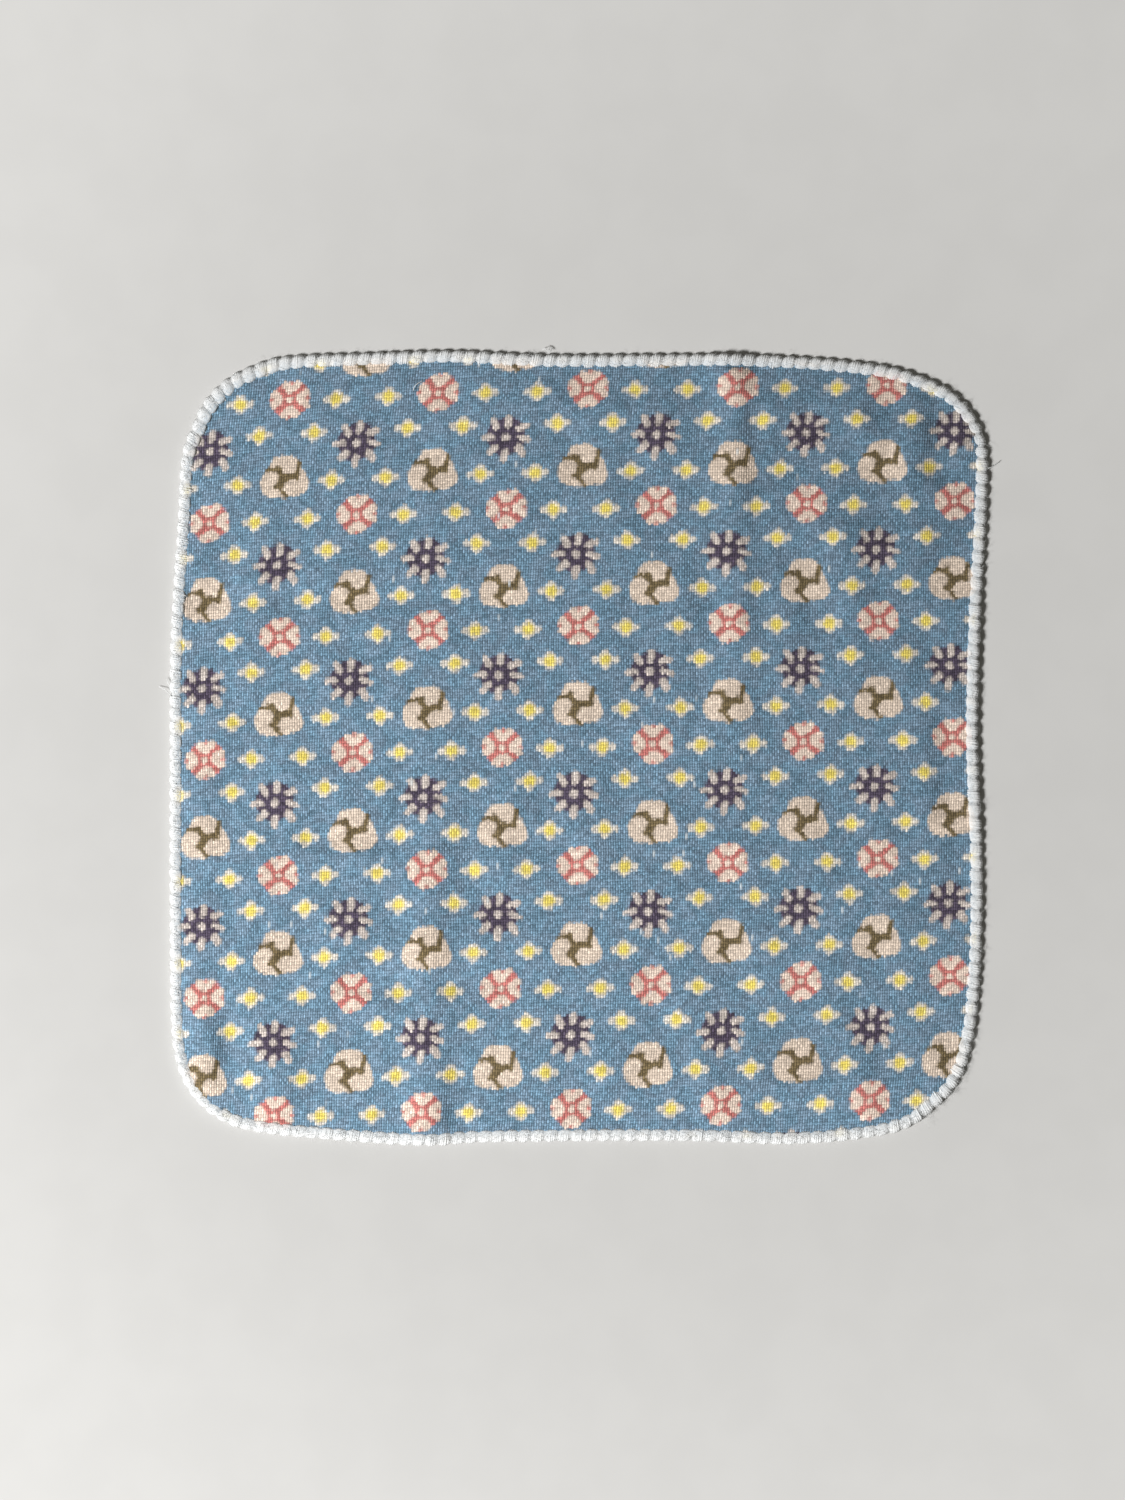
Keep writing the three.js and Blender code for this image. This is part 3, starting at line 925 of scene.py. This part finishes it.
WARP_PITCH = 0.75  # of the threads along y, which lie closer together
WEFT_PITCH = 0.9
STANCE = {"warp": 0.65, "weft": 0.55, "crossing": 0.35}  # mean heights, and the rise and fall at a crossing
RELIEF = 0.19  # how far the threads stand up, in millimetres
PALE_COVER = 0.42  # how much pale paint evens out the threads under it
MEAN_SHADE = 0.88  # what it evens them out to
LIGHT_FALLOFF = 0.22  # painted light: how much brighter the near left corner is painted than the middle, as the light falls off
THREAD_LIGHT_FALLOFF = 0.11  # the same painted light, on the edging

# How the threads wander: how far, and in waves of how many to a millimetre
WANDER = {"by": 0.5, "u": 0.11, "v": 0.09}
# A thread's own tone is noise: how far apart two threads are in it, and how fast it changes along a thread
WARP_TONE = {"apart": 7.31, "along": 0.6}
WEFT_TONE = {"apart": 5.17, "along": 0.3}
# How much of the print steps from thread to thread, and how far it bleeds to and fro with them
STEPPED = {"u": 0.55, "v": 0.45}
BLEED = {"u": 0.3, "v": 1.6}
SHADES = {
    "holes": 0.44,  # painted shade, between the threads
    "threads": 1.1,  # painted light, on top of them
    "darkest": 0.64,  # of the threads' own tones
    "lightest": 1.32,
    "cells": 0.3,  # how widely one crossing differs from the next
    "weft": 0.88,
    "warp": 1.04,
}
# Slubs: short thick places in single warp threads that took no dye
SLUBS = {"length": 2.6, "rarer_than": (0.997, 0.998), "cover": 0.65}
VEIL_COVER = 0.75


def place_on_piece(tree):
    """x and y in millimetres. Every piece is made in its place, so they are the part's own."""
    coordinates = tree.nodes.new("ShaderNodeTexCoord")
    split = tree.nodes.new("ShaderNodeSeparateXYZ")
    tree.links.new(coordinates.outputs["Object"], split.inputs[0])
    x, y = (Term(tree, split.outputs[axis]) / MM for axis in (0, 1))
    return x, y


def round_pulse(value):
    """0 at whole numbers and 1 halfway between them."""
    return (value - value.math("FLOOR")).scaled(math.pi).math("SINE")


def weave(u, v):
    """One plain weave: for a place, the numbers of its warp and weft threads, and how high each stands."""
    warp, weft = u / WARP_PITCH, v / WEFT_PITCH
    i, j = warp.math("FLOOR"), weft.math("FLOOR")
    over = (i + j).math("MODULO", 2.0).math("ABSOLUTE").scaled(2.0, -1.0)
    round_warp, round_weft = round_pulse(warp), round_pulse(weft)
    warp_height = round_warp * (over * round_weft).scaled(STANCE["crossing"], STANCE["warp"])
    weft_height = round_weft * (over * round_warp).scaled(-STANCE["crossing"], STANCE["weft"])
    return i, j, warp_height, weft_height


def new_material(name, roughness, specular, sheen=0.0):
    material = bpy.data.materials.new(name)
    material.use_nodes = True
    shader = material.node_tree.nodes["Principled BSDF"]
    shader.inputs["Roughness"].default_value = roughness
    shader.inputs["Specular IOR Level"].default_value = specular
    shader.inputs["Sheen Weight"].default_value = sheen
    shader.inputs["Sheen Roughness"].default_value = 0.5
    return material, material.node_tree, shader


def roughen(tree, shader, height, relief):
    """Relief in the surface's shading, in millimetres where the height is 1."""
    bump = tree.nodes.new("ShaderNodeBump")
    bump.inputs["Distance"].default_value = relief * MM
    bump.inputs["Strength"].default_value = 1.0
    feed(tree, bump.inputs["Height"], height)
    tree.links.new(bump.outputs[0], shader.inputs["Normal"])


def evened_by_pale_paint(tree, shade, colour):
    """The threads' shade, evened out where the paint is pale. Its red tells: the blue ground has little."""
    split = tree.nodes.new("ShaderNodeSeparateColor")
    tree.links.new(colour.socket, split.inputs[0])
    cover = Term(tree, split.outputs[0]) * PALE_COVER
    return shade + (cover * MEAN_SHADE - shade * cover)


def cloth_material(name, printed):
    material, tree, shader = new_material(name, roughness=0.9, specular=0.2, sheen=0.12)
    x, y = place_on_piece(tree)
    where = vector(tree, x, y)
    u, v = drifted(x, y)
    u = u + noise(tree, where, WANDER["u"]).about_zero(WANDER["by"])
    v = v + noise(tree, vector(tree, y, x), WANDER["v"]).about_zero(WANDER["by"])
    i, j, warp_height, weft_height = weave(u, v)
    cell = chance(tree, vector(tree, i, j))
    warp_tone = noise(tree, vector(tree, i * WARP_TONE["apart"], v * WARP_TONE["along"]), 1.0, 1.0)
    weft_tone = noise(tree, vector(tree, u * WEFT_TONE["along"], j * WEFT_TONE["apart"]), 1.0, 1.0)

    # the print, stepped by the threads it lies on
    step_u, step_v = (i + 0.5) * WARP_PITCH, (j + 0.5) * WEFT_PITCH
    print_u = u * (1 - STEPPED["u"]) + step_u * STEPPED["u"] + cell.about_zero(BLEED["u"])
    print_v = v * (1 - STEPPED["v"]) + step_v * STEPPED["v"] + warp_tone.about_zero(BLEED["v"])
    ground = mix(tree, noise(tree, where, 0.2, 2.0).ramp(0.35, 0.65), *GROUNDS)
    colour = print_colour(tree, print_u - FIRST_ROSETTE[0], print_v - FIRST_ROSETTE[1], ground)
    if not printed:
        colour = mix(tree, VEIL_COVER, colour, BACK_VEIL)

    top = warp_height.more(weft_height)
    # painted shade between the threads and painted light on their tops
    light = top.ramp(0.2, 0.85, SHADES["holes"], SHADES["threads"])
    is_warp = (warp_height - weft_height).ramp(-0.08, 0.08)
    tone = warp_tone * is_warp + weft_tone * is_warp.scaled(-1.0, 1.0)
    tone = tone.ramp(0.25, 0.75, SHADES["darkest"], SHADES["lightest"])
    shade = light * (tone * (cell.about_zero(SHADES["cells"]) + 1.0))
    shade = shade * is_warp.scaled(SHADES["warp"] - SHADES["weft"], SHADES["weft"])
    # painted light: the cloth is painted brighter towards the near left corner and darker towards the far
    # right, as the light falls off
    shade = shade * (x + y).scaled(-LIGHT_FALLOFF / 200, 1.0)
    colour = dimmed(tree, colour, evened_by_pale_paint(tree, shade, colour))

    lengths = v / SLUBS["length"]
    slub = chance(tree, vector(tree, i, lengths.math("FLOOR"))).ramp(*SLUBS["rarer_than"])
    colour = mix(tree, slub * round_pulse(lengths) * SLUBS["cover"], colour, SLUB)
    tree.links.new(colour.socket, shader.inputs["Base Color"])
    roughen(tree, shader, top, RELIEF)
    return material


def attribute(tree, name):
    node = tree.nodes.new("ShaderNodeAttribute")
    node.attribute_name = name
    return Term(tree, node.outputs["Fac"])


def thread_material(name, stitched):
    """White woolly thread. Where it is stitched over the cloth, some of the print shows through it."""
    material, tree, shader = new_material(name, roughness=0.85, specular=0.25, sheen=0.2)
    x, y = place_on_piece(tree)
    where = vector(tree, x, y)
    # the tone attribute: painted light and shade on the stitches, and a random tone on the fibres; the noise
    # is the fluff's own tone
    shade = attribute(tree, "tone") * noise(tree, where, 2.2, 3.0).ramp(0.3, 0.7, 0.9, 1.04)
    # painted light: the thread is painted brighter towards the near left, as the light falls off
    colour = dimmed(tree, THREAD, shade * (x + y).scaled(-THREAD_LIGHT_FALLOFF / 200, 1.0))
    if stitched:
        u, v = drifted(x, y)
        beneath = print_colour(tree, u - FIRST_ROSETTE[0], v - FIRST_ROSETTE[1], GROUNDS[0])
        share = attribute(tree, "through") * noise(tree, where, 1.6, 1.0).ramp(0.4, 0.6, 0.3, 1.0)
        colour = mix(tree, share, colour, beneath)
    tree.links.new(colour.socket, shader.inputs["Base Color"])
    roughen(tree, shader, noise(tree, where, 5.0, 2.0), 0.12)
    return material


# The room

CAMERA = {"x": -4.95, "y": -0.6, "height": 1800, "frame_height": 457.5}
KEY = {"bearing": 208, "elevation": 44, "distance": 2600, "size": 550, "watts": 97}
SURROUND = 0.1  # how strong the light from all round is
SURROUND_COLOUR = (1, 0.975, 0.85, 1)
FLOOR_SHADE = {"inner": 120, "outer": 290, "middle": 0.915, "far": 1.03}  # a little darker round the cloth
FLOOR_HALF = 4000


def make_floor():
    mesh = bpy.data.meshes.new("floor")
    half = FLOOR_HALF * MM
    corners = [(-half, -half, 0), (half, -half, 0), (half, half, 0), (-half, half, 0)]
    mesh.from_pydata(corners, [], [(0, 1, 2, 3)])
    floor = bpy.data.objects.new("floor", mesh)
    bpy.context.scene.collection.objects.link(floor)
    material, tree, shader = new_material("pale paper", roughness=0.95, specular=0.1)
    x, y = place_on_piece(tree)
    grain = noise(tree, vector(tree, x, y), 0.05, 4.0)
    colour = mix(tree, grain.ramp(0.3, 0.7), *PAPER)
    away = (x * x + y * y).math("SQRT")
    light = away.ramp(FLOOR_SHADE["inner"], FLOOR_SHADE["outer"], FLOOR_SHADE["middle"], FLOOR_SHADE["far"])
    tree.links.new(dimmed(tree, colour, light).socket, shader.inputs["Base Color"])
    mesh.materials.append(material)


def make_light():
    data = bpy.data.lights.new("key", "AREA")
    data.shape = "SQUARE"
    data.size = KEY["size"] * MM
    data.energy = KEY["watts"]
    light = bpy.data.objects.new("key", data)
    bearing, elevation = math.radians(KEY["bearing"]), math.radians(KEY["elevation"])
    towards = Vector((math.cos(bearing) * math.cos(elevation), math.sin(bearing) * math.cos(elevation),
                      math.sin(elevation)))
    light.location = towards * KEY["distance"] * MM
    light.rotation_euler = towards.to_track_quat("Z", "Y").to_euler()
    bpy.context.scene.collection.objects.link(light)
    world = bpy.data.worlds.new("soft studio")
    world.use_nodes = True
    background = world.node_tree.nodes["Background"]
    background.inputs["Color"].default_value = SURROUND_COLOUR
    background.inputs["Strength"].default_value = SURROUND
    bpy.context.scene.world = world
    bpy.context.scene.view_settings.view_transform = "Standard"


def make_camera():
    data = bpy.data.cameras.new("camera")
    data.sensor_fit = "VERTICAL"
    data.angle = 2 * math.atan(CAMERA["frame_height"] / 2 / CAMERA["height"])
    data.clip_end = 20
    camera = bpy.data.objects.new("camera", data)
    camera.location = (CAMERA["x"] * MM, CAMERA["y"] * MM, CAMERA["height"] * MM)
    bpy.context.scene.collection.objects.link(camera)
    bpy.context.scene.camera = camera


make_camera()
make_floor()
make_light()

cloth = make_cloth()
cloth.data.materials.append(cloth_material("printed cotton, face", True))
cloth.data.materials.append(cloth_material("printed cotton, back", False))
edging = make_edging()
fibres = make_fibres()
strays = make_strays()
edging.data.materials.append(thread_material("woolly overlock thread", True))
loose_thread = thread_material("loose thread", False)
for piece in (fibres, strays):
    piece.data.materials.append(loose_thread)

for piece in (cloth, edging, fibres, strays):
    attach(piece, "root")
    "printed_cotton" if piece == cloth else "edging_thread"
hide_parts("cloth")
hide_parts("edge_stitching")
